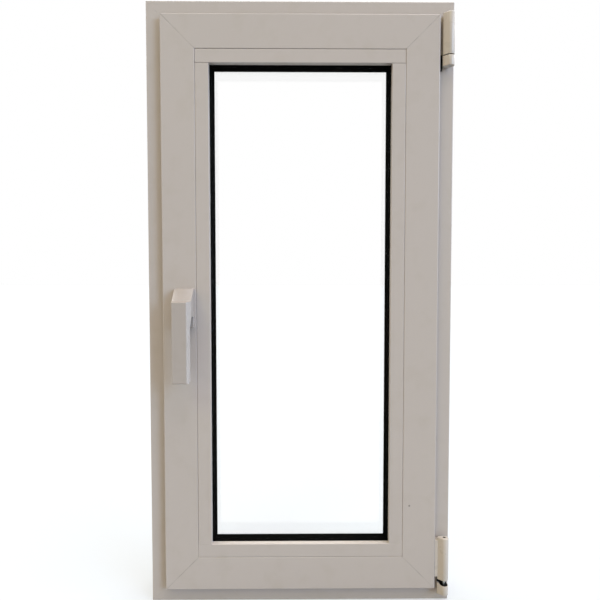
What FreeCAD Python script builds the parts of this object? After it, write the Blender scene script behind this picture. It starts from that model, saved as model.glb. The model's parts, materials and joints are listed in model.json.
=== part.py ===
"""Tilt and turn window, one sash, hinges on the right and lever handle on the left.

X runs to the right, Y from the room to the outdoors and Z up.  The origin is the
middle of the sill's underside.  Sections are drawn as (u, y): u is the distance
inwards from the outer edge of the frame, y the depth.  All sizes are in millimetres.
"""

import FreeCAD
import Part

import math
import os

V = FreeCAD.Vector

# Overall size
width = 500.0
height = 992.0
frame_depth = 70.0

# What shows on the room side
border = 25.5
sash_face = 55.0
bead_face = 22.1
proud = 13.0

# Frame section
overlap = 8.0
frame_leg = border + overlap
chamber = 11.5
body_u = frame_leg + chamber
stop_cover = 7.0
stop_u = body_u + stop_cover
stop_thick = 8.0
anchor_groove = 8.0
anchor_depth = 3.0
mitre_gap = 0.06

# Depths
room_y = -frame_depth / 2
out_y = frame_depth / 2
face_gap = 5.0
stop_gap = 5.0
front_y = room_y - proud
wing_y = room_y - face_gap
stop_y = out_y - stop_thick
back_y = stop_y - stop_gap

# Rounded edges
frame_round = 1.5
sash_round = 1.5
bead_round = 0.6
joint_round = 1.2
stop_round = 1.0
fine_round = 0.5

# Seals between frame and sash
seal_clear = 0.5
stop_seal_in = 1.0
stop_seal_wide = 4.0
stop_seal_lean = 0.8
wing_seal_in = 3.5
wing_seal_wide = 5.0
wing_seal_deep = 3.0
wing_seal_tip = 1.8
wing_seal_round = 0.6

# Glazing
bead_u = border + sash_face
sight_u = bead_u + bead_face
bead_fit = 0.12
top_fit = 0.5
bead_depth = 10.5
bead_y = front_y + bead_depth
gasket_thick = 12.5
pane = 4.0
cavity = 16.0
glass_y = bead_y + gasket_thick
spacer_y = glass_y + pane
outer_pane_y = spacer_y + cavity
outer_gasket_y = outer_pane_y + pane
outer_gasket = 4.0
leg_y = outer_gasket_y + outer_gasket
leg_face = 11.5
leg_u = bead_u + leg_face
leg_slope_y = 14.0
leg_slope_u = 7.5
gasket_root = 6.0
gasket_heel = 0.3
gasket_dip = 1.4
gasket_ridge = 2.0
gasket_ridge_y = 2.6
gasket_shelf = 2.6
gasket_shelf_y = 6.0
gasket_lip = 6.4
gasket_edge = 1.6
outer_lip = 3.5
glass_edge = 4.0
glass_u = bead_u + glass_edge
spacer_inset = 0.4
spacer_wide = 10.0

# Hardware groove round the sash
groove_in = 18.0
groove_y = wing_y + groove_in
groove_mouth = 15.0
groove_width = 20.0
groove_lip = 2.5
groove_depth = 8.0

# Hinge line and the drop-shaped plan of the hinge covers
hinge_in = 10.0
hinge_out = 11.5
hinge_x = width / 2 - hinge_in
hinge_y = room_y - hinge_out
bulge_r = 6.6
bulge_dx = 0.3
bulge_dy = -1.1
tail_r = 2.6
tail_dx = -8.6
tail_dy = 1.5
cover_bevel = 1.0
foot_right = 5.0
pin_r = 3.0
run = 0.06
knuckle_gap = 1.8
leaf = 2.0
leaf_y = room_y - 3.5

# Top hinge
stay_drop = 106.5
stay_z = height - stay_drop
stay_eye = 15.8
bearing_len = 66.4
bearing_cap = 12.0
pin_end = 0.2

# Bottom hinge, the ball in line with the sash's lower edge
tilt_z = border
barrel_z = 40.5
barrel_len = 72.0
leaf_margin = 5.0
leaf_foot = 3.0
leaf_fill = 0.6
fill_play = 0.2
oil_r = 2.6
oil_deep = 6.0
ball_r = 3.4
neck_r = 1.9
throat_r = 3.0
seat_r = 4.4
seat_top = tilt_z + 5.1
seat_floor = tilt_z - 6.3
seat_end = 0.2
bracket_z = 16.5
bracket_top = 32.0
bracket_rise = 4.0
bracket_bend = 5.3
liner_inset = 1.0
liner_thick = 1.0
liner_back = 1.5
liner_top = 44.0
liner_hole_r = 3.6

# Stay arm in the head chamber
arm_lift = 2.5
arm_thick = 3.0
arm_wide = 16.0
arm_reach = 322.0
arm_side = 2.5
arm_leg_u = frame_leg + arm_side
arm_leg = 3.0
guide_r = 3.0
guide_len = 8.5

# Handle
handle_in = 62.4
handle_x = -width / 2 + handle_in
handle_z = 496.3
rose_wide = 30.8
rose_tall = 64.0
rose_thick = 9.0
rose_corner = 2.5
rose_rim = 1.2
rose_clear = 0.3
boss_r = 10.0
boss_len = 8.6
boss_room = 1.0
spindle_deep = 2.0
lever_wide = 23.0
lever_top = 11.6
lever_drop = 115.6
lever_out = 50.0
lever_thick = 14.0
lever_taper = 1.0
lever_bevel = 0.7
lever_front_r = 1.5
lever_tip_r = 2.0
neck_top = 31.7
neck_reach = 22.0
neck_shelf = 12.2
neck_low = 12.7
neck_throat = 7.0
throat_low = 28.0
throat_round = 8.0
neck_round = 3.0

# Fixings, locking pieces and drains
screw_r = 4.0
screw_end = 150.0
keeper_thick = 2.0
keeper_wide = 20.0
keeper_len = 60.0
keeper_hole_r = 2.2
keeper_hole_in = 10.0
cam_r = 4.5
cam_end = 250.0
cam_clear = 5.0
bar_end = 120.0
bar_thick = 5.0
bar_clear = 0.3
bar_slack = 1.0
drain_x = 110.0
drain_len = 26.0
drain_tall = 5.0
drain_deep = 6.0
drain_low = 6.0
cap_edge = 5.0
cap_thick = 5.0
cap_mouth = 3.0
cap_brow = 3.0
cap_round = 3.0

hair = 0.01
past = 1.0
SIDES = ("sill", "head", "left", "right")
os.makedirs("parts", exist_ok=True)


def box(x0, x1, y0, y1, z0, z1):
    return Part.makeBox(x1 - x0, y1 - y0, z1 - z0, V(x0, y0, z0))


def post(radius, z0, z1, x=hinge_x, y=hinge_y):
    return Part.makeCylinder(radius, z1 - z0, V(x, y, z0))


def outline(corners, place):
    """Closed wire through (u, y, radius) corners, rounded where a radius is given."""
    ends = []
    count = len(corners)
    for i, (u, y, radius) in enumerate(corners):
        here = V(u, y, 0)
        if radius == 0:
            ends.append((here, None, here))
            continue
        to_last = (V(*corners[i - 1][:2], 0) - here).normalize()
        to_next = (V(*corners[(i + 1) % count][:2], 0) - here).normalize()
        half = to_last.getAngle(to_next) / 2
        reach = radius / math.tan(half)
        middle = (to_last + to_next).normalize()
        top = here + middle * (radius / math.sin(half) - radius)
        ends.append((here + to_last * reach, top, here + to_next * reach))
    edges = []
    for i, (first, top, last) in enumerate(ends):
        if top is not None:
            arc = Part.Arc(place(first), place(top), place(last))
            edges.append(arc.toShape())
        start = ends[(i + 1) % count][0]
        if last.distanceToPoint(start) > hair:
            edges.append(Part.makeLine(place(last), place(start)))
    return Part.Wire(edges)


def side_frame(side):
    """Placing function, running direction and length of one side of the window."""
    left = -width / 2
    right = width / 2
    if side == "sill":
        return lambda p: V(left, p.y, p.x), V(1, 0, 0), width
    if side == "head":
        return lambda p: V(left, p.y, height - p.x), V(1, 0, 0), width
    if side == "left":
        return lambda p: V(left + p.x, p.y, 0), V(0, 0, 1), height
    return lambda p: V(right - p.x, p.y, 0), V(0, 0, 1), height


def bar(corners, side, start, end):
    """Straight length of a section along one side, cut square."""
    place, along, _ = side_frame(side)
    face = Part.Face(outline(corners, place))
    solid = face.extrude(along * (end - start))
    solid.translate(along * start)
    return solid


def mitred(corners, side, gap=0.0):
    """Full length of a section along one side, both ends cut at 45 degrees."""
    place, along, length = side_frame(side)
    deep = width / 2 - past
    across = place(V(deep, 0, 0)) - place(V(0, 0, 0))
    base = place(V(0, -2 * frame_depth, 0))
    points = [base + along * gap]
    points.append(base + along * (length - gap))
    points.append(base + along * (length - deep - gap) + across)
    points.append(base + along * (deep + gap) + across)
    points.append(points[0])
    keep = Part.Face(Part.makePolygon(points)).extrude(V(0, 4 * frame_depth, 0))
    return bar(corners, side, 0, length).common(keep)


def ring(corners):
    """One closed ring of a section round all four sides."""
    parts = [mitred(corners, side) for side in SIDES]
    return parts[0].multiFuse(parts[1:]).removeSplitter()


def sheet(inset, y0, y1):
    """Rectangle of glass or gap, set in from the frame's outer edge."""
    return box(inset - width / 2, width / 2 - inset, y0, y1, inset, height - inset)


def drop(z0, z1, inset=0.0):
    """Drop-shaped length of hinge cover: a round bulge with a tail towards the sash."""
    round_r = bulge_r - inset
    end_r = tail_r - inset
    bulge = V(hinge_x + bulge_dx, hinge_y + bulge_dy, z0)
    tail = V(hinge_x + tail_dx, hinge_y + tail_dy, z0)
    along = tail - bulge
    lean = math.acos((round_r - end_r) / along.Length)
    along.normalize()
    across = V(-along.y, along.x, 0)
    near = along * math.cos(lean) + across * math.sin(lean)
    far = along * math.cos(lean) - across * math.sin(lean)
    edges = [Part.makeLine(bulge + near * round_r, tail + near * end_r)]
    arc = Part.Arc(tail + near * end_r, tail + along * end_r, tail + far * end_r)
    edges.append(arc.toShape())
    edges.append(Part.makeLine(tail + far * end_r, bulge + far * round_r))
    arc = Part.Arc(bulge + far * round_r, bulge - along * round_r, bulge + near * round_r)
    edges.append(arc.toShape())
    return Part.Face(Part.Wire(edges)).extrude(V(0, 0, z1 - z0))


def level_edges(shape, z):
    return [e for e in shape.Edges if abs(e.BoundBox.ZMin - z) < hair and e.BoundBox.ZLength < hair]


def frame_foot(z0, z1):
    """Foot that carries a hinge cover on the frame's face."""
    return box(hinge_x + tail_dx, hinge_x + foot_right, hinge_y, room_y, z0, z1)


def leaf_plate(x0, z0, z1):
    """Flat leaf through the face gap, as far as its hinge cover."""
    return box(x0, hinge_x + tail_dx, leaf_y, leaf_y + leaf, z0, z1)


def leaf_web(z0, z1):
    """Web behind a hinge cover, where the leaf is held."""
    return box(hinge_x + tail_dx, hinge_x, hinge_y, leaf_y + leaf, z0, z1)


def save(name, shape):
    """Write one node, every solid of it whole."""
    solids = shape.Solids
    whole = solids[0] if len(solids) == 1 else Part.makeCompound(solids)
    whole.exportStep("parts/" + name + ".step")


# Frame: four mitred bars with an outdoor stop and two anchor grooves outside
frame_section = [
    (0, room_y, frame_round),
    (frame_leg, room_y, joint_round),
    (frame_leg, stop_y, 0),
    (stop_u, stop_y, fine_round),
    (stop_u, out_y, stop_round),
    (0, out_y, frame_round),
]
for middle in (frame_depth / 4, -frame_depth / 4):
    near = middle + anchor_groove / 2
    far = middle - anchor_groove / 2
    frame_section.append((0, near, 0))
    frame_section.append((anchor_depth, near, 0))
    frame_section.append((anchor_depth, far, 0))
    frame_section.append((0, far, 0))
frame = {side: mitred(frame_section, side, mitre_gap) for side in SIDES}

# Screw holes through both jambs, hidden behind the closed sash
for side, x in (("left", -width / 2), ("right", width / 2 - frame_leg)):
    for z in (screw_end, height - screw_end):
        hole = Part.makeCylinder(screw_r, frame_leg + 2 * past, V(x - past, 0, z), V(1, 0, 0))
        frame[side] = frame[side].cut(hole)

# Drain slots in the outdoor face of the sill, each under a hooded cap
drain_z = stop_u / 2 - drain_low
drain_top = drain_z + drain_tall
caps = []
for x in (-drain_x, drain_x):
    left = x - drain_len / 2
    right = x + drain_len / 2
    slot = box(left, right, out_y - drain_deep, out_y + past, drain_z, drain_top)
    frame["sill"] = frame["sill"].cut(slot)
    cap_y = out_y + cap_thick
    cap = box(left - cap_edge, right + cap_edge, out_y, cap_y, drain_z - cap_brow, drain_top + cap_brow)
    cap = cap.makeFillet(cap_round, [e for e in cap.Edges if e.BoundBox.YMin > cap_y - hair])
    mouth = box(left, right, out_y - past, out_y + cap_mouth, drain_z - cap_brow - past, drain_top)
    caps.append(cap.cut(mouth))
save("drain_caps", Part.makeCompound(caps))

save("frame_sill", frame["sill"])
save("frame_head", frame["head"])
save("frame_left_jamb", frame["left"])
save("frame_right_jamb", frame["right"])

# Seal on the outdoor stop, a hair clear of the closed sash
stop_seal_u = body_u + stop_seal_in
stop_seal_end = stop_seal_u + stop_seal_wide
stop_seal = [
    (stop_seal_u, stop_y, 0),
    (stop_seal_u + stop_seal_lean, back_y + seal_clear, stop_round),
    (stop_seal_end - stop_seal_lean, back_y + seal_clear, stop_round),
    (stop_seal_end, stop_y, 0),
]
save("frame_stop_seal", ring(stop_seal))

# Sash: four mitred bars with a room-side wing, a hardware groove and a glazing rebate
near_mouth = groove_y - groove_mouth / 2
far_mouth = groove_y + groove_mouth / 2
near_slot = groove_y - groove_width / 2
far_slot = groove_y + groove_width / 2
lip_u = body_u + groove_lip
floor_u = body_u + groove_depth
wing_seal_u = border + wing_seal_in
wing_seal_end = wing_seal_u + wing_seal_wide
sash_section = [
    (border, front_y, sash_round),
    (bead_u, front_y, joint_round),
    (bead_u, leg_y, 0),
    (leg_u, leg_y, 0),
    (leg_u, back_y - leg_slope_y, 0),
    (leg_u - leg_slope_u, back_y, fine_round),
    (body_u, back_y, stop_round),
    (body_u, far_mouth, 0),
    (lip_u, far_mouth, 0),
    (lip_u, far_slot, 0),
    (floor_u, far_slot, 0),
    (floor_u, near_slot, 0),
    (lip_u, near_slot, 0),
    (lip_u, near_mouth, 0),
    (body_u, near_mouth, 0),
    (body_u, wing_y, 0),
    (wing_seal_end, wing_y, 0),
    (wing_seal_end, wing_y - wing_seal_deep, 0),
    (wing_seal_u, wing_y - wing_seal_deep, 0),
    (wing_seal_u, wing_y, 0),
    (border, wing_y, fine_round),
]
sash = {side: mitred(sash_section, side, mitre_gap) for side in SIDES}
spindle_at = V(handle_x, front_y - past, handle_z)
spindle = Part.makeCylinder(boss_r + boss_room, past + spindle_deep, spindle_at, V(0, 1, 0))
sash["left"] = sash["left"].cut(spindle)
save("sash_bottom_rail", sash["sill"])
save("sash_top_rail", sash["head"])
save("sash_lock_stile", sash["left"])
save("sash_hinge_stile", sash["right"])

# Seal behind the wing, left out where the hinge leaves pass
seal_tip = room_y - seal_clear
seal_mid = (wing_seal_u + wing_seal_end) / 2
wing_seal = [
    (wing_seal_u, wing_y - wing_seal_deep, 0),
    (wing_seal_end, wing_y - wing_seal_deep, 0),
    (wing_seal_end, wing_y, 0),
    (wing_seal_end - fine_round, wing_y, 0),
    (seal_mid + wing_seal_tip / 2, seal_tip, wing_seal_round),
    (seal_mid - wing_seal_tip / 2, seal_tip, wing_seal_round),
    (wing_seal_u + fine_round, wing_y, 0),
    (wing_seal_u, wing_y, 0),
]
wing_ring = ring(wing_seal)
barrel_top = barrel_z + barrel_len
stay_top = stay_z + stay_eye
for z0, z1 in ((barrel_z, barrel_top), (stay_z, stay_top)):
    seal_x = width / 2 - wing_seal_end - past
    notch = box(seal_x, width / 2, wing_y, room_y, z0 - leaf_foot, z1 + leaf_foot)
    wing_ring = wing_ring.cut(notch)
save("sash_wing_seal", wing_ring)

# Glazing beads: head and sill beads run through, side beads stand between them
def bead_section(fit):
    """Section of a glazing bead with its play towards the sash."""
    section = [(bead_u + fit, front_y, joint_round), (sight_u, front_y, bead_round)]
    section.append((sight_u, bead_y, 0))
    section.append((bead_u + fit, bead_y, 0))
    return section


top_ends = bead_u + top_fit
long_ends = bead_u + bead_fit
side_low = sight_u + bead_fit
side_high = height - sight_u - top_fit
save("bead_top", bar(bead_section(top_fit), "head", top_ends, width - top_ends))
save("bead_bottom", bar(bead_section(bead_fit), "sill", long_ends, width - long_ends))
save("bead_left", bar(bead_section(bead_fit), "left", side_low, side_high))
save("bead_right", bar(bead_section(bead_fit), "right", side_low, side_high))

# Glazing gaskets, both with a lip past the metal, the inner one with a ridge along it
inner_gasket_section = [
    (sight_u - gasket_root, bead_y, 0),
    (sight_u - gasket_heel, bead_y, 0),
    (sight_u, bead_y + gasket_dip, 0),
    (sight_u + gasket_ridge, bead_y + gasket_ridge_y, fine_round),
    (sight_u + gasket_shelf, bead_y + gasket_shelf_y, 0),
    (sight_u + gasket_lip, glass_y - gasket_edge, joint_round),
    (sight_u + gasket_lip, glass_y, 0),
    (sight_u - gasket_root, glass_y, 0),
]
save("glazing_gasket_inner", ring(inner_gasket_section))
outer_gasket_section = [
    (leg_u - gasket_root, outer_gasket_y, 0),
    (leg_u + outer_lip, outer_gasket_y, 0),
    (leg_u + outer_lip, outer_gasket_y + gasket_edge, fine_round),
    (leg_u + gasket_heel, leg_y, 0),
    (leg_u - gasket_root, leg_y, 0),
]
save("glazing_gasket_outer", ring(outer_gasket_section))

# Sealed double pane with its spacer
save("pane_inner", sheet(glass_u, glass_y, spacer_y))
save("pane_outer", sheet(glass_u, outer_pane_y, outer_gasket_y))
spacer_u = glass_u + spacer_inset
spacer = sheet(spacer_u, spacer_y, outer_pane_y)
save("pane_spacer", spacer.cut(sheet(spacer_u + spacer_wide, spacer_y - past, outer_pane_y + past)))

# Top hinge: bearing on the frame face, its pin, and the stay's eye below
bearing_z = stay_top + knuckle_gap
bearing_top = bearing_z + bearing_len
bearing = drop(bearing_z, bearing_top)
bearing = bearing.makeChamfer(cover_bevel, level_edges(bearing, bearing_top))
pin_top = bearing_top - bearing_cap
bearing = bearing.fuse(frame_foot(bearing_z, bearing_top - cover_bevel))
bearing = bearing.cut(post(pin_r + run, bearing_z - past, pin_top)).removeSplitter()
save("top_hinge_bearing", bearing)
save("top_hinge_pin", post(pin_r, stay_z, pin_top - pin_end))

# Eye of the stay below the bearing
eye = drop(stay_z, stay_top).fuse(leaf_web(stay_z, stay_top))
save("top_hinge_eye", eye.cut(post(pin_r + run, stay_z - past, stay_top + past)).removeSplitter())

# Stay: leaf through the face gap, leg up the hinge chamber, arm along the head
arm_x = hinge_x - arm_reach
leg_x = width / 2 - arm_leg_u - arm_leg
arm_z = height - body_u + arm_lift
arm_y = groove_y - arm_wide / 2
stay_leaf = leaf_plate(leg_x, stay_z, stay_top)
leg = box(leg_x, leg_x + arm_leg, leaf_y, arm_y + arm_wide, stay_z, arm_z + arm_thick)
arm = box(arm_x, leg_x + arm_leg, arm_y, arm_y + arm_wide, arm_z, arm_z + arm_thick)
arm_round = post(arm_wide / 2, arm_z, arm_z + arm_thick, arm_x, groove_y)
guide = post(guide_r, arm_z - guide_len, arm_z + fine_round, arm_x, groove_y)
stay = stay_leaf.multiFuse([leg, arm, arm_round, guide])
save("stay_arm", stay.removeSplitter())

# Bottom hinge: barrel with its leaf on the sash and a ball on a neck below
foot_x = width / 2 - body_u
leaf_low = barrel_z + leaf_margin
leaf_high = barrel_top - leaf_margin
barrel = drop(barrel_z, barrel_top)
rims = level_edges(barrel, barrel_z) + level_edges(barrel, barrel_top)
barrel = barrel.makeChamfer(cover_bevel, rims)
low_foot = box(foot_x, foot_x + leaf_foot, leaf_y, far_slot, leaf_low, leaf_high)
low_leaf = leaf_plate(foot_x, leaf_low, leaf_high)
fill_x = width / 2 - border + fill_play
fill_y = hinge_y + tail_dy - tail_r + leaf_fill
fill = box(fill_x, hinge_x + tail_dx, fill_y, leaf_y + leaf, leaf_low, leaf_high)
barrel = barrel.multiFuse([leaf_web(leaf_low, leaf_high), low_leaf, low_foot, fill])
barrel = barrel.cut(post(oil_r, barrel_top - oil_deep, barrel_top + past)).removeSplitter()
save("bottom_hinge_leaf", barrel)
ball_at = V(hinge_x, hinge_y, tilt_z)
ball = Part.makeSphere(ball_r, ball_at)
save("bottom_hinge_ball", ball.fuse(post(neck_r, tilt_z, barrel_z)).removeSplitter())

# Seat that turns in the bracket on the frame, with the socket and throat of the ball
seat = post(seat_r, seat_floor, seat_top)
seat = seat.cut(Part.makeSphere(ball_r + run, ball_at))
seat = seat.cut(post(throat_r, tilt_z, seat_top + past)).removeSplitter()
save("bottom_hinge_seat", seat)
bracket_high = bracket_top + bracket_rise
tail_end = hinge_x + tail_dx - tail_r
far_y = hinge_y - frame_depth
slant = Part.makePolygon([
    V(tail_end, far_y, bracket_high),
    V(hinge_x - bracket_bend, far_y, bracket_top),
    V(width, far_y, bracket_top),
    V(width, far_y, bracket_high + past),
    V(tail_end, far_y, bracket_high + past),
    V(tail_end, far_y, bracket_high),
])
above = Part.Face(slant).extrude(V(0, 2 * frame_depth, 0))
bracket = drop(bracket_z, bracket_high).cut(above)
bracket = bracket.fuse(frame_foot(bracket_z, bracket_top - cover_bevel))
bracket = bracket.cut(post(seat_r + run, seat_floor - seat_end, bracket_top + past)).removeSplitter()
save("bottom_hinge_bracket", bracket)

# Dark liner over the bracket and on the frame's face behind the ball's neck
liner_z = bracket_top - cover_bevel
liner = drop(liner_z, bracket_top + liner_thick, liner_inset)
shelf = frame_foot(liner_z, bracket_top + liner_thick)
plate_y = room_y - liner_back
plate = box(hinge_x + tail_dx, hinge_x + foot_right, plate_y, room_y, liner_z, liner_top)
liner = liner.multiFuse([shelf, plate]).cut(bracket)
liner = liner.cut(post(liner_hole_r, bracket_z, liner_top)).removeSplitter()
save("bottom_hinge_liner", liner)

# Locking bar in the groove of the lock stile with two roller cams, keepers on the jamb
bar_x = -width / 2 + lip_u + bar_clear
bar_y0 = groove_y - (groove_width - bar_slack) / 2
bar_y1 = groove_y + (groove_width - bar_slack) / 2
lock = box(bar_x, bar_x + bar_thick, bar_y0, bar_y1, bar_end, height - bar_end)
keeper_x = -width / 2 + frame_leg
cam_x = keeper_x + keeper_thick + cam_clear
keepers = []
for z in (cam_end, height - cam_end):
    cam = Part.makeCylinder(cam_r, bar_x + bar_slack - cam_x, V(cam_x, groove_y, z), V(1, 0, 0))
    lock = lock.fuse(cam)
    keeper_y0 = groove_y - keeper_wide / 2
    keeper_y1 = groove_y + keeper_wide / 2
    plate = box(keeper_x, keeper_x + keeper_thick, keeper_y0, keeper_y1, z, z + keeper_len)
    for at in (z + keeper_hole_in, z + keeper_len - keeper_hole_in):
        hole_at = V(keeper_x - past, groove_y, at)
        plate = plate.cut(Part.makeCylinder(keeper_hole_r, keeper_thick + 2 * past, hole_at, V(1, 0, 0)))
    keepers.append(plate)
save("lock_bar", lock.removeSplitter())
save("lock_keepers", Part.makeCompound(keepers))

# Handle: rose on the lock stile and a lever that hangs down when the window is locked
rose_y = front_y - rose_thick
rose_left = handle_x - rose_wide / 2
rose_low = handle_z - rose_tall / 2
rose = box(rose_left, rose_left + rose_wide, rose_y, front_y, rose_low, rose_low + rose_tall)
upright = [e for e in rose.Edges if e.BoundBox.YLength > rose_thick - hair]
rose = rose.makeFillet(rose_corner, upright)
rim = [e for e in rose.Edges if e.BoundBox.YMax < rose_y + hair]
rose = rose.makeFillet(rose_rim, rim)
boss_at = V(handle_x, rose_y - past, handle_z)
boss_hole = Part.makeCylinder(boss_r + run, rose_thick + 2 * past, boss_at, V(0, 1, 0))
save("handle_rose", rose.cut(boss_hole))

# The lever's side view, then its plan: as wide as the rose behind, narrower in front
hub_y = rose_y - rose_clear
neck_y = hub_y - neck_reach
grip_y = front_y - lever_out
lever_back = grip_y + lever_thick
lever_side = [
    (hub_y, neck_top, fine_round),
    (neck_y, neck_shelf, fine_round),
    (grip_y, lever_top, lever_front_r),
    (grip_y, -lever_drop, lever_tip_r),
    (lever_back - lever_taper, -lever_drop, lever_tip_r),
    (lever_back, -throat_low, throat_round),
    (lever_back + neck_throat, -neck_low, neck_round),
    (hub_y, -neck_low, fine_round),
]
lever_face = Part.Face(outline(lever_side, lambda p: V(rose_left, p.x, handle_z + p.y)))
lever = lever_face.extrude(V(rose_wide, 0, 0))
plan_z = handle_z - lever_drop - past
bevel_y = grip_y + lever_bevel
plan = Part.makePolygon([
    V(rose_left, hub_y, plan_z),
    V(rose_left + rose_wide, hub_y, plan_z),
    V(rose_left + rose_wide, neck_y, plan_z),
    V(handle_x + lever_wide / 2, bevel_y, plan_z),
    V(handle_x + lever_wide / 2 - lever_bevel, grip_y, plan_z),
    V(handle_x - lever_wide / 2 + lever_bevel, grip_y, plan_z),
    V(handle_x - lever_wide / 2, bevel_y, plan_z),
    V(rose_left, neck_y, plan_z),
    V(rose_left, hub_y, plan_z),
])
plan_tall = lever_drop + neck_top + 2 * past
lever = lever.common(Part.Face(plan).extrude(V(0, 0, plan_tall)))
boss = Part.makeCylinder(boss_r, boss_len, V(handle_x, hub_y, handle_z), V(0, 1, 0))
save("handle_lever", lever.fuse(boss).removeSplitter())
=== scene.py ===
# %% [markdown]
# # A tilt and turn window
#
# The window is a fixed frame of four mitred bars, a sash of four mitred bars that turns and
# tilts in it, a double pane held by clip-in beads, a lever handle and two hinges.  Its solids
# come ready made at their real size, so this lesson dresses them: camera, light, finishes,
# softened edges and the small fittings that are too fine for the solids.

# %% Load the solids
import json
import math

import bmesh
import bpy
from mathutils import Matrix, Vector


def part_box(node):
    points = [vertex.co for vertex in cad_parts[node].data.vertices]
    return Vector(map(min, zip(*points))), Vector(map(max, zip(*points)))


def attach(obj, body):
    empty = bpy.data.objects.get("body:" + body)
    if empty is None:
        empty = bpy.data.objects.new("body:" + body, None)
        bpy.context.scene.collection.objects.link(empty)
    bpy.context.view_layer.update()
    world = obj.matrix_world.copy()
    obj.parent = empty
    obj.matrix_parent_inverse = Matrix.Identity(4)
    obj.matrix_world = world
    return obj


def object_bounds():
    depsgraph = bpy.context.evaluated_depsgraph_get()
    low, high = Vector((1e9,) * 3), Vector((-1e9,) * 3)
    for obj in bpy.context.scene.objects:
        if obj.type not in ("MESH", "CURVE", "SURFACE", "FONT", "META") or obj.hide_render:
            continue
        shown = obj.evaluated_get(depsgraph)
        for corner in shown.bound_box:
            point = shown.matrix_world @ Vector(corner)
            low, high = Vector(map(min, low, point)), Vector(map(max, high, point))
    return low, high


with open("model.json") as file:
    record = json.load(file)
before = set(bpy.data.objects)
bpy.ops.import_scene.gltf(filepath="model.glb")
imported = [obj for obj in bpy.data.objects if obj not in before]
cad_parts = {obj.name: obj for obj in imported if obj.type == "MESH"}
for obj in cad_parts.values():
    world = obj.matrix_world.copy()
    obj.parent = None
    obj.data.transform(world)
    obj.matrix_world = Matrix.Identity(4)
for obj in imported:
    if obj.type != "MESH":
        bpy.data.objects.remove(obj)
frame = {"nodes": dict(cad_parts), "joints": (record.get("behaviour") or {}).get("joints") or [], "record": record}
nodes = frame["nodes"]
cad_box = [list(corner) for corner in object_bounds()]
MM = 0.001
box_mm = [[round(c / MM, 1) for c in corner] for corner in cad_box]
print("solids:", len(nodes), "box in mm:", box_mm)

# %% [markdown]
# ## Camera
#
# The picture was taken from the room, straight on, a little above the middle of the window and
# looking slightly down: the uprights lean together towards the floor.  A camera could be placed
# by eye, but edges whose real sizes are known settle it: the distance was chosen as 0.88 m
# from the frame's face, and height, tilt and focal length then follow from the edges.

# %% Place the camera
IMAGE_PX = 600
SENSOR_MM = 36.0
focal_px = 532.06
camera_at = Vector((-8.25, -915.0, 547.15)) * MM
look_down = 0.0437
look_right = 0.0086

camera_data = bpy.data.cameras.new("room_camera")
camera_data.sensor_width = SENSOR_MM
camera_data.lens = focal_px * SENSOR_MM / IMAGE_PX
camera = bpy.data.objects.new("room_camera", camera_data)
camera.location = camera_at
camera.rotation_euler = (math.pi / 2 - look_down, 0, -look_right)
bpy.context.scene.collection.objects.link(camera)
bpy.context.scene.camera = camera
print("lens %.2f mm, camera at %s m" % (camera_data.lens, [round(c, 3) for c in camera_at]))

# %% [markdown]
# ## Colours and nodes
#
# Colours are written as the hex values a paint chart would give and turned to the linear
# numbers that shaders work in.  One helper adds a node, sets it and links it, so a material
# reads from top to bottom like a recipe.  A Mix node has a set of sockets for each kind of data,
# and all sets share their names, so the sockets that mix colours are given by number here.

# %% Helpers for colours and nodes
MIX_SHARE, MIX_A, MIX_B = 0, 6, 7
MIXED = 2


def linear(hex_colour):
    """sRGB hex to the linear colour that a shader takes."""
    parts = [int(hex_colour[i:i + 2], 16) / 255 for i in (1, 3, 5)]
    return [p / 12.92 if p <= 0.04045 else ((p + 0.055) / 1.055) ** 2.4 for p in parts] + [1.0]


def add(tree, kind, inputs=None, **settings):
    """One node with its settings; a socket among the inputs is linked, anything else is a value."""
    made = tree.nodes.new(kind)
    for name, value in settings.items():
        setattr(made, name, value)
    for name, value in (inputs or {}).items():
        if isinstance(value, bpy.types.NodeSocket):
            tree.links.new(value, made.inputs[name])
        else:
            made.inputs[name].default_value = value
    return made


def new_material(name):
    """An empty node material, and the tree to fill."""
    material = bpy.data.materials.new(name)
    material.use_nodes = True
    material.node_tree.nodes.clear()
    return material, material.node_tree


print("middle grey in linear numbers:", [round(c, 3) for c in linear("#808080")])

# %% [markdown]
# ## White world
#
# The window stands in front of plain white.  The world shows white to the camera, to mirrors and
# to glass, so the white costs no extra light on the object.  Every other ray gets a weak even
# light that grows warmer towards the front left, where a room's lamp would stand: that lamp fills
# the shadow beside a proud edge with a brownish tone.  A panorama of a room would light the window
# as well, but two colours and one direction are easier to read and to tune.

# %% White world
scene = bpy.context.scene
scene.view_settings.view_transform = "Standard"
light_even = (0.29, 0.27, 0.26)
light_lamp = (1.00, 0.68, 0.36)
towards_lamp = (-0.77, -0.64, 0.0)

world = bpy.data.worlds.new("white_studio")
world.use_nodes = True
scene.world = world
tree = world.node_tree
tree.nodes.clear()


def seen_ray(tree):
    """1 for a ray from the camera, a mirror or glass, 0 for light that falls on a surface."""
    path = add(tree, "ShaderNodeLightPath")
    either = add(tree, "ShaderNodeMath", {0: path.outputs["Is Camera Ray"],
                                          1: path.outputs["Is Glossy Ray"]}, operation="MAXIMUM")
    any_of = add(tree, "ShaderNodeMath", {0: either.outputs[0],
                                          1: path.outputs["Is Transmission Ray"]}, operation="MAXIMUM")
    return any_of.outputs[0]


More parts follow.
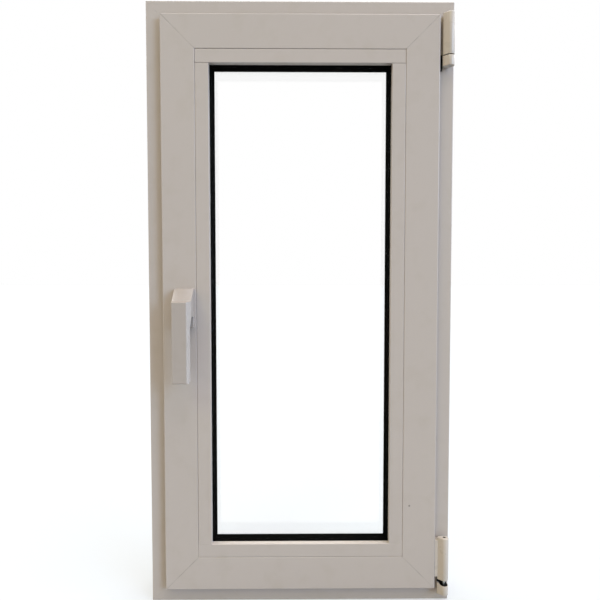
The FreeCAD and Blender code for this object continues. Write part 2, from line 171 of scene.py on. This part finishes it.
direction = add(tree, "ShaderNodeTexCoord").outputs["Generated"]
facing = add(tree, "ShaderNodeVectorMath", {0: direction, 1: towards_lamp}, operation="DOT_PRODUCT")
share = add(tree, "ShaderNodeMapRange", {"Value": facing.outputs["Value"]})
level = add(tree, "ShaderNodeMix", {MIX_SHARE: share.outputs[0], MIX_A: (*light_even, 1),
                                    MIX_B: (*light_lamp, 1)}, data_type="RGBA")
soft = add(tree, "ShaderNodeBackground", {"Color": level.outputs[MIXED], "Strength": 1.0})
white = add(tree, "ShaderNodeBackground", {"Color": linear("#FFFFFF"), "Strength": 1.0})
shown = add(tree, "ShaderNodeMixShader", {0: seen_ray(tree), 1: soft.outputs[0], 2: white.outputs[0]})
add(tree, "ShaderNodeOutputWorld", {"Surface": shown.outputs[0]})
print("world: even light", light_even, "and towards the room's lamp", light_lamp)

# %% [markdown]
# ## Floor
#
# The window stands on a plain pale floor.  A white floor would throw much of the lamps' light back
# at the window, so this one is a middle grey for the light that falls on it.  What the camera, a
# mirror or glass sees of it gets a white of its own on top.  About half of the white it shows is
# lit, so the floor still keeps the window's shadow.

# %% Floor
floor_size = 60.0
floor_gap = 0.5 * MM
floor_grey = "#94999C"
floor_glow = 0.48

mesh = bpy.data.meshes.new("floor")
bm = bmesh.new()
bmesh.ops.create_grid(bm, x_segments=1, y_segments=1, size=floor_size / 2)
bmesh.ops.translate(bm, verts=bm.verts, vec=(0, 0, -floor_gap))
bm.to_mesh(mesh)
bm.free()
floor = bpy.data.objects.new("floor", mesh)
scene.collection.objects.link(floor)

material, tree = new_material("white_floor")
lit = add(tree, "ShaderNodeBsdfDiffuse", {"Color": linear(floor_grey)})
glow = add(tree, "ShaderNodeEmission", {"Color": linear("#FFFFFF"), "Strength": floor_glow})
dark = add(tree, "ShaderNodeEmission", {"Strength": 0.0})
own = add(tree, "ShaderNodeMixShader", {0: seen_ray(tree), 1: dark.outputs[0], 2: glow.outputs[0]})
both = add(tree, "ShaderNodeAddShader", {0: lit.outputs[0], 1: own.outputs[0]})
add(tree, "ShaderNodeOutputMaterial", {"Surface": both.outputs[0]})
floor.data.materials.append(material)
print("floor", floor_size, "m wide, with a glow of", floor_glow)

# %% [markdown]
# ## Lamps
#
# Seven soft boxes far away light the window: a wide one high up for the ceiling, a cool one low at
# the right as from daylight, a weak warm one from the left, one along the wall on each side for
# the narrow faces, and two behind for the side that faces outdoors.  So the shadow to the left of
# a proud edge is warm, and the one to its right is cool.  An area lamp would do as well, but a sun
# lamp with a wide disc keeps its strength at any distance, so every bar gets the same light.
# Glass doesn't show the boxes, or their discs would draw an arc across the pane.

# %% Lamps
def soft_box(name, azimuth, elevation, spread, colour):
    """A far soft box: azimuth to the right and elevation in degrees, seen from the window."""
    strength = max(colour)
    data = bpy.data.lights.new(name, "SUN")
    data.energy = strength
    data.color = [c / strength for c in colour]
    data.angle = math.radians(spread)
    box = bpy.data.objects.new(name, data)
    side, up = math.radians(azimuth), math.radians(elevation)
    reach = math.cos(up)
    towards = Vector((math.sin(side) * reach, -math.cos(side) * reach, math.sin(up)))
    box.rotation_euler = (-towards).to_track_quat("-Z", "Y").to_euler()
    box.visible_transmission = False
    scene.collection.objects.link(box)


outdoors_light = (1.35, 1.34, 1.32)
soft_box("ceiling_box", azimuth=35, elevation=68, spread=40, colour=(1.70, 1.65, 1.74))
soft_box("daylight_box", azimuth=47, elevation=15, spread=28, colour=(0.80, 1.18, 1.80))
soft_box("warm_box", azimuth=-32, elevation=42, spread=16, colour=(0.36, 0.41, 0.23))
soft_box("right_side_box", azimuth=80, elevation=20, spread=30, colour=(0.75, 0.75, 0.78))
soft_box("left_side_box", azimuth=262, elevation=20, spread=36, colour=(0.60, 0.74, 0.95))
soft_box("back_left_box", azimuth=215, elevation=45, spread=50, colour=outdoors_light)
soft_box("back_right_box", azimuth=142, elevation=45, spread=50, colour=outdoors_light)

# %% [markdown]
# ## Powder coat
#
# The bars are extruded aluminium with a baked polyester powder coat in a warm white.  The eye
# sees a satin skin with a shallow orange peel of two to three millimetres, a colour that drifts
# a little along a bar, and a thin film of dust in soft patches that takes some of the gloss.
# A painted picture could show that too, but noise at real sizes works on every bar.  Hinges and
# handle have the same coat, glossier and in tones of their own, and the drain caps are moulded
# nylon in the same white.

# %% Powder coat on aluminium
drift_size = 160 * MM
dust_size = 28 * MM
peel_size = 2.5 * MM
peel_depth = 0.05 * MM


def powder_coat(name, light, deep, dust_and_shade, roughness):
    """Satin polyester powder: orange peel, a slow drift of colour, a dusty film in patches."""
    material, tree = new_material(name)
    place = add(tree, "ShaderNodeTexCoord").outputs["Object"]
    drift = add(tree, "ShaderNodeTexNoise", {"Vector": place, "Scale": 1 / drift_size, "Detail": 3.0})
    tone = add(tree, "ShaderNodeMix", {MIX_SHARE: drift.outputs[0], MIX_A: linear(light),
                                       MIX_B: linear(deep)}, data_type="RGBA")
    patches = add(tree, "ShaderNodeTexNoise", {"Vector": place, "Scale": 1 / dust_size, "Detail": 5.0})
    film = add(tree, "ShaderNodeMapRange", {"Value": patches.outputs[0], "From Min": 0.52,
                                            "From Max": 0.75, "To Min": 0.0, "To Max": 0.35})
    skin = add(tree, "ShaderNodeMix", {MIX_SHARE: film.outputs[0], MIX_A: tone.outputs[MIXED],
                                       MIX_B: linear(dust_and_shade)}, data_type="RGBA")
    gloss = add(tree, "ShaderNodeMapRange", {"Value": patches.outputs[0], "To Min": roughness - 0.06,
                                             "To Max": roughness + 0.08})
    peel = add(tree, "ShaderNodeTexNoise", {"Vector": place, "Scale": 1 / peel_size, "Detail": 1.0})
    bump = add(tree, "ShaderNodeBump", {"Height": peel.outputs[0], "Strength": 0.15,
                                        "Distance": peel_depth})
    shader = add(tree, "ShaderNodeBsdfPrincipled", {"Base Color": skin.outputs[MIXED],
                                                    "Roughness": gloss.outputs[0],
                                                    "Normal": bump.outputs[0], "IOR": 1.5})
    add(tree, "ShaderNodeOutputMaterial", {"Surface": shader.outputs[0]})
    return material


finishes = {}
finishes["white_lacquer"] = powder_coat("powder_coat_white", light="#B3AAA1", deep="#AFA69D",
                                        dust_and_shade="#A89E91", roughness=0.32)
finishes["hinge_lacquer"] = powder_coat("powder_coat_hinge", light="#BCB3A7", deep="#B7AEA2",
                                        dust_and_shade="#ADA396", roughness=0.28)
finishes["handle_lacquer"] = powder_coat("powder_coat_handle", light="#A59C93", deep="#A1988F",
                                         dust_and_shade="#988F84", roughness=0.20)
finishes["white_plastic"] = powder_coat("moulded_nylon_white", light="#B6B0A8", deep="#B1ABA2",
                                        dust_and_shade="#A39C90", roughness=0.5)
print("powder coats:", list(finishes))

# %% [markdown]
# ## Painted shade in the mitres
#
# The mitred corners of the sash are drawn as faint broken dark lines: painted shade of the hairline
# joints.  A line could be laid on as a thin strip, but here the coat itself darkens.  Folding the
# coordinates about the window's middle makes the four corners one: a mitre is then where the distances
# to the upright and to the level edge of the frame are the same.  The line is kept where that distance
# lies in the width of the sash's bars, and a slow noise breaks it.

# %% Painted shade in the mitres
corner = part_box("frame_head")[1]
half_height = corner.z / 2
sash_middle = 53 * MM
sash_half = 27.3 * MM
line_dark, line_gone = 0.4 * MM, 1.2 * MM
line_strength = 0.34
break_size = 22 * MM

tree = finishes["white_lacquer"].node_tree
place = add(tree, "ShaderNodeTexCoord").outputs["Object"]
centred = add(tree, "ShaderNodeVectorMath", {0: place, 1: (0, 0, half_height)}, operation="SUBTRACT")
folded = add(tree, "ShaderNodeVectorMath", {0: centred.outputs[0]}, operation="ABSOLUTE")
inwards = add(tree, "ShaderNodeVectorMath", {0: (corner.x, 0, half_height), 1: folded.outputs[0]},
              operation="SUBTRACT")
edge = add(tree, "ShaderNodeSeparateXYZ", {0: inwards.outputs[0]})
apart = add(tree, "ShaderNodeMath", {0: edge.outputs["X"], 1: edge.outputs["Z"]}, operation="SUBTRACT")
off_mitre = add(tree, "ShaderNodeMath", {0: apart.outputs[0]}, operation="ABSOLUTE")
# Painted shade: a dark line along each sash mitre, where the hairline joint lies in shade.
line = add(tree, "ShaderNodeMapRange", {"Value": off_mitre.outputs[0], "From Min": line_dark,
                                        "From Max": line_gone, "To Min": line_strength, "To Max": 0.0})
on_sash = add(tree, "ShaderNodeMath", {0: edge.outputs["X"], 1: sash_middle, 2: sash_half},
              operation="COMPARE")
drift = add(tree, "ShaderNodeTexNoise", {"Vector": place, "Scale": 1 / break_size, "Detail": 2.0})
broken = add(tree, "ShaderNodeMapRange", {"Value": drift.outputs[0], "From Min": 0.38, "From Max": 0.62,
                                          "To Min": 0.25, "To Max": 1.0})
kept = add(tree, "ShaderNodeMath", {0: on_sash.outputs[0], 1: broken.outputs[0]}, operation="MULTIPLY")
dust_and_shade = add(tree, "ShaderNodeMath", {0: line.outputs[0], 1: kept.outputs[0]}, operation="MULTIPLY")
print("mitre lines of", line_gone / MM, "mm to each side, on the sash alone")

# %% [markdown]
# ## A speck of dirt
#
# One small speck of dirt sits low on the hinge stile.  It could be a tiny piece of its own, but it
# is flat, so it is a spot in the coat that fades with the distance from one point.  The stronger
# of the mitres' painted shade and the speck of dirt then darkens the clean skin.

# %% A speck of dirt
speck_at = Vector((180.8, -48.0, 166.7)) * MM
speck_dark, speck_gone = 0.8 * MM, 2.2 * MM
speck_strength = 0.8
dirt_and_shade_colour = "#5E5750"

shader = next(node for node in tree.nodes if node.type == "BSDF_PRINCIPLED")
clean_skin = shader.inputs["Base Color"].links[0].from_socket
away = add(tree, "ShaderNodeVectorMath", {0: place, 1: speck_at}, operation="DISTANCE")
spot = add(tree, "ShaderNodeMapRange", {"Value": away.outputs["Value"], "From Min": speck_dark,
                                        "From Max": speck_gone, "To Min": speck_strength, "To Max": 0.0})
# The darker of the painted mitre shade and the speck of dirt wins, and mixes the coat towards one dark colour.
dirt_and_shade = add(tree, "ShaderNodeMath", {0: dust_and_shade.outputs[0], 1: spot.outputs[0]}, operation="MAXIMUM")
skin = add(tree, "ShaderNodeMix", {MIX_SHARE: dirt_and_shade.outputs[0], MIX_A: clean_skin,
                                   MIX_B: linear(dirt_and_shade_colour)}, data_type="RGBA")
tree.links.new(skin.outputs[MIXED], shader.inputs["Base Color"])
print("speck at", [round(c / MM, 1) for c in speck_at], "mm")

# %% [markdown]
# ## Rubber and black plastic
#
# The gasket is extruded EPDM rubber: deep black, matt, with a grey bloom where dust sticks to it.
# Soot in the rubber swallows nearly all light, so its sheen is set low.  The spacer of the pane
# and the liner of the hinge are moulded black plastic with a fine grain.  One black would do from
# afar, but the two lie side by side round the pane.

# %% Black rubber and plastic
grain_depth = 0.05 * MM


def black_matt(name, deep, bloom, patch_mm, grain_mm, roughness, sheen):
    """Black rubber or plastic: a grain too fine to see is drawn half a millimetre coarse."""
    material, tree = new_material(name)
    place = add(tree, "ShaderNodeTexCoord").outputs["Object"]
    patches = add(tree, "ShaderNodeTexNoise", {"Vector": place, "Scale": 1 / (patch_mm * MM),
                                               "Detail": 4.0})
    film = add(tree, "ShaderNodeMapRange", {"Value": patches.outputs[0], "From Min": 0.5,
                                            "From Max": 0.8, "To Min": 0.0, "To Max": 1.0})
    tone = add(tree, "ShaderNodeMix", {MIX_SHARE: film.outputs[0], MIX_A: linear(deep),
                                       MIX_B: linear(bloom)}, data_type="RGBA")
    gloss = add(tree, "ShaderNodeMapRange", {"Value": patches.outputs[0], "To Min": roughness - 0.08,
                                             "To Max": roughness + 0.1})
    grain = add(tree, "ShaderNodeTexNoise", {"Vector": place, "Scale": 1 / (grain_mm * MM),
                                             "Detail": 2.0})
    bump = add(tree, "ShaderNodeBump", {"Height": grain.outputs[0], "Strength": 0.2,
                                        "Distance": grain_depth})
    shader = add(tree, "ShaderNodeBsdfPrincipled", {"Base Color": tone.outputs[MIXED],
                                                    "Roughness": gloss.outputs[0],
                                                    "Normal": bump.outputs[0], "IOR": 1.5,
                                                    "Specular IOR Level": sheen})
    add(tree, "ShaderNodeOutputMaterial", {"Surface": shader.outputs[0]})
    return material


finishes["black_rubber"] = black_matt("epdm_rubber", deep="#030302", bloom="#0B0907", patch_mm=12,
                                      grain_mm=0.6, roughness=0.7, sheen=0.03)
finishes["black_plastic"] = black_matt("moulded_black_plastic", deep="#0A0908", bloom="#151411",
                                       patch_mm=8, grain_mm=0.5, roughness=0.6, sheen=0.08)
print("black finishes:", finishes["black_rubber"].name, finishes["black_plastic"].name)

# %% [markdown]
# ## Glass
#
# Float glass is clear, and so thin here that it has no colour.  It leaves its furnace with waves
# of about a quarter of a metre that bend reflections a little, so a very shallow bump of that
# length carries them, and a film of wiping marks takes a trace of the gloss.  Lamps shine through
# a clear pane, and a renderer that bends light in glass would stop them there, so the two panes
# are told to cast no shadow: the beads' inner sides and the floor behind the glass then get
# their light.

# %% Float glass
wave_size = 250 * MM
wave_depth = 0.2 * MM
wipe_size = 60 * MM

material, tree = new_material("float_glass")
place = add(tree, "ShaderNodeTexCoord").outputs["Object"]
wave = add(tree, "ShaderNodeTexNoise", {"Vector": place, "Scale": 1 / wave_size, "Detail": 0.0})
bend = add(tree, "ShaderNodeBump", {"Height": wave.outputs[0], "Strength": 0.05, "Distance": wave_depth})
wipe = add(tree, "ShaderNodeTexNoise", {"Vector": place, "Scale": 1 / wipe_size, "Detail": 4.0})
clean = add(tree, "ShaderNodeMapRange", {"Value": wipe.outputs[0], "From Min": 0.45, "From Max": 0.8,
                                         "To Min": 0.0, "To Max": 0.02})
shader = add(tree, "ShaderNodeBsdfPrincipled", {"Base Color": linear("#FFFFFF"),
                                                "Transmission Weight": 1.0,
                                                "Roughness": clean.outputs[0], "IOR": 1.52,
                                                "Normal": bend.outputs[0]})
add(tree, "ShaderNodeOutputMaterial", {"Surface": shader.outputs[0]})
finishes["clear_glass"] = material
panes = [nodes["pane_inner"], nodes["pane_outer"]]
for pane in panes:
    pane.visible_shadow = False
print("glass:", material.name, "on", len(panes), "panes that cast no shadow")

# %% [markdown]
# ## Steel
#
# Stay, locking bar, keepers, pins and screws are steel with a thin layer of zinc.  The zinc gives
# a soft silvery shine with a fine mottle of two millimetres.  A plain grey metal would look like
# a mirror that is out of focus, so the mottle moves colour and gloss together.

# %% Zinc-plated steel
mark_depth = 0.03 * MM


def plated_steel(name, light, deep, mottle_mm, roughness):
    """Plated steel: a fine mottle in colour and gloss, and shallow rolling marks."""
    material, tree = new_material(name)
    place = add(tree, "ShaderNodeTexCoord").outputs["Object"]
    mottle = add(tree, "ShaderNodeTexNoise", {"Vector": place, "Scale": 1 / (mottle_mm * MM),
                                              "Detail": 3.0})
    tone = add(tree, "ShaderNodeMix", {MIX_SHARE: mottle.outputs[0], MIX_A: linear(light),
                                       MIX_B: linear(deep)}, data_type="RGBA")
    gloss = add(tree, "ShaderNodeMapRange", {"Value": mottle.outputs[0], "To Min": roughness - 0.1,
                                             "To Max": roughness + 0.1})
    marks = add(tree, "ShaderNodeBump", {"Height": mottle.outputs[0], "Strength": 0.1,
                                         "Distance": mark_depth})
    shader = add(tree, "ShaderNodeBsdfPrincipled", {"Base Color": tone.outputs[MIXED],
                                                    "Roughness": gloss.outputs[0],
                                                    "Normal": marks.outputs[0], "Metallic": 1.0})
    add(tree, "ShaderNodeOutputMaterial", {"Surface": shader.outputs[0]})
    return material


finishes["steel"] = plated_steel("zinc_plated_steel", light="#BEC0BF", deep="#A7A9A6", mottle_mm=2,
                                 roughness=0.36)
print("steel:", finishes["steel"].name)

# %% [markdown]
# ## Finish of each solid
#
# On the real window the bars and beads are coated, the gaskets come in black and the fittings are
# plated before anything is put together.  Each solid could be given its finish by hand, but the
# window's record names one for every solid, and a loop over the record forgets none.

# %% Finish of each solid
for row in frame["record"]["subparts"]:
    solid = nodes[row["node"]]
    solid.data.materials.clear()
    solid.data.materials.append(finishes[row["material_slot"]])

# %% [markdown]
# ## Softened edges
#
# A coat of paint or a punch never leaves a knife edge, and a thin rounding is what catches the
# light along the handle, the hinge covers and the steel fittings.  The rounding could be cut into
# each mesh, but a bevel modifier after a weld keeps the solids as they are.

# %% Soften the edges
edge_mm = {"handle_lever": 0.7, "top_hinge_eye": 0.4, "top_hinge_bearing": 0.3,
           "bottom_hinge_leaf": 0.3, "bottom_hinge_bracket": 0.3, "stay_arm": 0.4,
           "lock_bar": 0.3, "lock_keepers": 0.3}
sharp_from = math.radians(40)
weld_gap = 0.005 * MM


def soften(solid, width):
    """Weld the loose triangles, then round every sharp edge by a width in metres."""
    weld = solid.modifiers.new("weld", "WELD")
    weld.merge_threshold = weld_gap
    edge = solid.modifiers.new("soft_edge", "BEVEL")
    edge.width = width
    edge.segments = 2
    edge.limit_method = "ANGLE"
    edge.angle_limit = sharp_from


for name, width_mm in edge_mm.items():
    soften(nodes[name], width_mm * MM)
print("softened:", len(edge_mm), "solids")

# %% [markdown]
# ## A screw head
#
# Keepers, locking bar and hinge leaf are held by pan-head screws with a six-sided socket.
# A plain disc would do from afar, but an open window is looked at closely.  A circle is extruded
# twice for the wall and the rounded shoulder, a hexagon is bridged to it, and the hexagon is
# extruded down for the socket.  Each head is built in a mesh of its own, where the loops are easy
# to tell apart, and then joined to the others.

# %% A screw head
head_sides = 24
wall_share = 0.6
shoulder_share = 0.4
socket_share = 0.6


def raise_loop(bm, loop):
    """Extrude a loop of edges in place and give the new corners and the new loop."""
    made = bmesh.ops.extrude_edge_only(bm, edges=loop)["geom"]
    corners = [part for part in made if isinstance(part, bmesh.types.BMVert)]
    return corners, [part for part in made if isinstance(part, bmesh.types.BMEdge)]


def head(bm, place, radius, height, socket, shoulder=0.82):
    """Add a screw head that stands on a face: place carries its foot and turns Z to its axis."""
    one = bmesh.new()
    bmesh.ops.create_circle(one, segments=head_sides, radius=radius)
    rim = one.edges[:]
    bmesh.ops.edgeloop_fill(one, edges=rim)
    for share, widen in ((wall_share, 1.0), (shoulder_share, shoulder)):
        corners, rim = raise_loop(one, rim)
        bmesh.ops.translate(one, verts=corners, vec=(0, 0, share * height))
        bmesh.ops.scale(one, verts=corners, vec=(widen, widen, 1))
    key = bmesh.ops.create_circle(one, segments=6, radius=socket)["verts"]
    bmesh.ops.translate(one, verts=key, vec=(0, 0, height))
    sides = [edge for edge in one.edges if edge.verts[0] in key]
    cut = bmesh.ops.subdivide_edges(one, edges=sides, cuts=head_sides // len(key) - 1)["geom"]
    sides = [part for part in cut if isinstance(part, bmesh.types.BMEdge)]
    bmesh.ops.bridge_loops(one, edges=rim + sides)
    corners, floor_loop = raise_loop(one, sides)
    bmesh.ops.translate(one, verts=corners, vec=(0, 0, -socket_share * height))
    bmesh.ops.edgeloop_fill(one, edges=floor_loop)
    bmesh.ops.transform(one, matrix=place, verts=one.verts)
    placed = bpy.data.meshes.new("screw_head")
    one.to_mesh(placed)
    one.free()
    bm.from_mesh(placed)
    bpy.data.meshes.remove(placed)


to_right = Matrix.Rotation(math.pi / 2, 4, "Y")
to_left = Matrix.Rotation(-math.pi / 2, 4, "Y")
print("a screw head has", head_sides, "sides")

# %% [markdown]
# ## A small fitting
#
# Every small fitting ends the same way: it gets its finish and is told which part of the window
# it is fixed to, so that it moves along when the sash turns or tilts.  That could be repeated for
# each, but one helper makes sure that none is left hanging in the air.

# %% A small fitting
def fitting(name, bm, body, slot):
    """Turn the faces outwards, give the piece its finish and let it ride on its body."""
    bmesh.ops.recalc_face_normals(bm, faces=bm.faces)
    mesh = bpy.data.meshes.new(name)
    bm.to_mesh(mesh)
    bm.free()
    piece = bpy.data.objects.new(name, mesh)
    scene.collection.objects.link(piece)
    mesh.materials.append(finishes[slot])
    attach(piece, body)
    print(name, "on", body, "-", len(mesh.polygons), "faces")


print("finishes to choose from:", sorted(finishes))

# %% [markdown]
# ## Screws of the keepers
#
# The two keepers are steel plates on the left jamb, behind which the sash locks.  Each is held by
# a screw near either end.  The screws could be set by hand, but both plates are one solid, and
# measured from the two ends of its box they follow wherever the keepers go.

# %% Screws of the keepers
low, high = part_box("lock_keepers")
keeper_len = 60 * MM
keeper_hole_in = 10 * MM
groove_y = (low.y + high.y) / 2
bm = bmesh.new()
for end in (low.z, high.z - keeper_len):
    for z in (end + keeper_hole_in, end + keeper_len - keeper_hole_in):
        head(bm, Matrix.Translation((high.x, groove_y, z)) @ to_right,
             radius=3.6 * MM, height=1.6 * MM, socket=1.7 * MM)
fitting("keeper_screws", bm, "frame", "steel")

# %% [markdown]
# ## Screws of the locking bar
#
# The locking bar lies in the groove round the sash and faces the keepers.  Four screws hold it,
# two above the middle and two below.  Each could be given its own height, but measured from the
# bar's middle the two halves stay alike.

# %% Screws of the locking bar
low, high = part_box("lock_bar")
bar_thick = 5 * MM
bar_face = high.x - bar_thick
bar_middle = (low.z + high.z) / 2
near, far = 96 * MM, 316 * MM
bm = bmesh.new()
for off in (-far, -near, near, far):
    head(bm, Matrix.Translation((bar_face, groove_y, bar_middle + off)) @ to_left,
         radius=3.2 * MM, height=1.2 * MM, socket=1.5 * MM)
fitting("lock_bar_screws", bm, "sash", "steel")

# %% [markdown]
# ## Screws of the bottom hinge's leaf
#
# The leaf of the bottom hinge reaches round the sash's edge with a thin foot, and two screws hold
# the foot in the groove.  They sit a little way in from the leaf's two ends, so the box of the
# leaf gives their places.

# %% Screws of the bottom hinge's leaf
low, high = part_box("bottom_hinge_leaf")
leaf_foot = 3 * MM
leaf_hole_in = 18 * MM
bm = bmesh.new()
for z in (low.z + leaf_hole_in, high.z - leaf_hole_in):
    head(bm, Matrix.Translation((low.x + leaf_foot, groove_y, z)) @ to_right,
         radius=3.4 * MM, height=1.4 * MM, socket=1.6 * MM)
fitting("hinge_leaf_screws", bm, "sash", "steel")

# %% [markdown]
# ## Adjusting screw
#
# A dark insert with a six-sided socket sits in the top of the bottom hinge, where the sash is
# raised or lowered with a key.  It is a screw head again, taller and with a narrower shoulder, so
# the same helper makes it on the hinge's axis.

# %% Adjusting screw
hinge_axis = {joint["name"]: Vector(joint["pos_m"]) for joint in frame["joints"]}["turn"]
sunk = 0.5 * MM
insert_len = 4 * MM
insert_at = Vector((hinge_axis.x, hinge_axis.y, high.z - sunk - insert_len))
bm = bmesh.new()
head(bm, Matrix.Translation(insert_at), radius=2.5 * MM, height=insert_len, socket=1.3 * MM,
     shoulder=0.95)
fitting("hinge_adjusting_screw", bm, "sash", "black_plastic")

# %% [markdown]
# ## Rivet of the stay arm
#
# The far end of the stay arm turns on a rivet in the sash's groove.  Its low domed head could be
# half a sphere pressed flat, but a profile spun once round its axis gives the dome its true rim.

# %% Rivet of the stay arm
spin_steps = 32
weld_dist = 0.01 * MM


def spun(outline, closed=False):
    """A mesh from an outline of (radius, height) corners, spun once round the Z axis."""
    bm = bmesh.new()
    profile = [bm.verts.new((radius, 0, z)) for radius, z in outline]
    following = profile[1:] + (profile[:1] if closed else [])
    edges = [bm.edges.new(pair) for pair in zip(profile, following)]
    bmesh.ops.spin(bm, geom=profile + edges, cent=(0, 0, 0), axis=(0, 0, 1), angle=2 * math.pi,
                   steps=spin_steps, use_merge=True)
    bmesh.ops.remove_doubles(bm, verts=bm.verts, dist=weld_dist)
    return bm


low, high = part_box("stay_arm")
arm_half = 8 * MM
dome = [(0, 1.0 * MM), (2.4 * MM, 0.85 * MM), (3.9 * MM, 0.45 * MM), (4.5 * MM, 0)]
bm = spun(dome)
bmesh.ops.holes_fill(bm, edges=bm.edges, sides=0)
bmesh.ops.translate(bm, verts=bm.verts, vec=(low.x + arm_half, high.y - arm_half, high.z))
fitting("stay_rivet", bm, "stay", "steel")

# %% [markdown]
# ## Washer of the top hinge
#
# A black plastic washer keeps the two halves of the top hinge apart, and its black is also painted
# shade for the narrow gap between them.  A cylinder with a hole cut through it would do, but a small
# rectangle spun round the pin makes the ring in one step, and the two halves give its height.

# %% Washer of the top hinge
play = 0.1 * MM
washer_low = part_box("top_hinge_eye")[1].z + play
washer_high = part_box("top_hinge_bearing")[0].z - play
washer_in = 3.15 * MM
washer_out = 5.3 * MM
bm = spun([(washer_in, washer_low), (washer_out, washer_low), (washer_out, washer_high),
           (washer_in, washer_high)], closed=True)
bmesh.ops.translate(bm, verts=bm.verts, vec=(hinge_axis.x, hinge_axis.y, 0))
# The washer's black is partly painted shade of the knuckle gap.
fitting("top_hinge_washer", bm, "stay", "black_plastic")

# %% [markdown]
# ## Dark strip beside the top hinge
#
# A thin black strip rides with the stay in the gap beside the sash, left of the top hinge: it is
# painted shade, for the deep gap that lies dark there.  A plain block would do for it, but sharp
# edges catch no light, so a cube is scaled to its size and its edges are bevelled.

# %% Dark strip beside the top hinge
gap_shade_size = Vector((4.4, 0.8, 25.8)) * MM
gap_shade_at = Vector((227.4, -38.9, 892.4)) * MM
gap_shade_edge = 0.2 * MM
bm = bmesh.new()
bmesh.ops.create_cube(bm, size=1.0)
bmesh.ops.scale(bm, verts=bm.verts, vec=gap_shade_size)
bmesh.ops.bevel(bm, geom=bm.edges, offset=gap_shade_edge, segments=2, profile=0.5, affect="EDGES",
                material=-1)
bmesh.ops.translate(bm, verts=bm.verts, vec=gap_shade_at)
# Painted shade: this black strip darkens the gap beside the sash.
fitting("stay_gap_shade_strip", bm, "stay", "black_plastic")
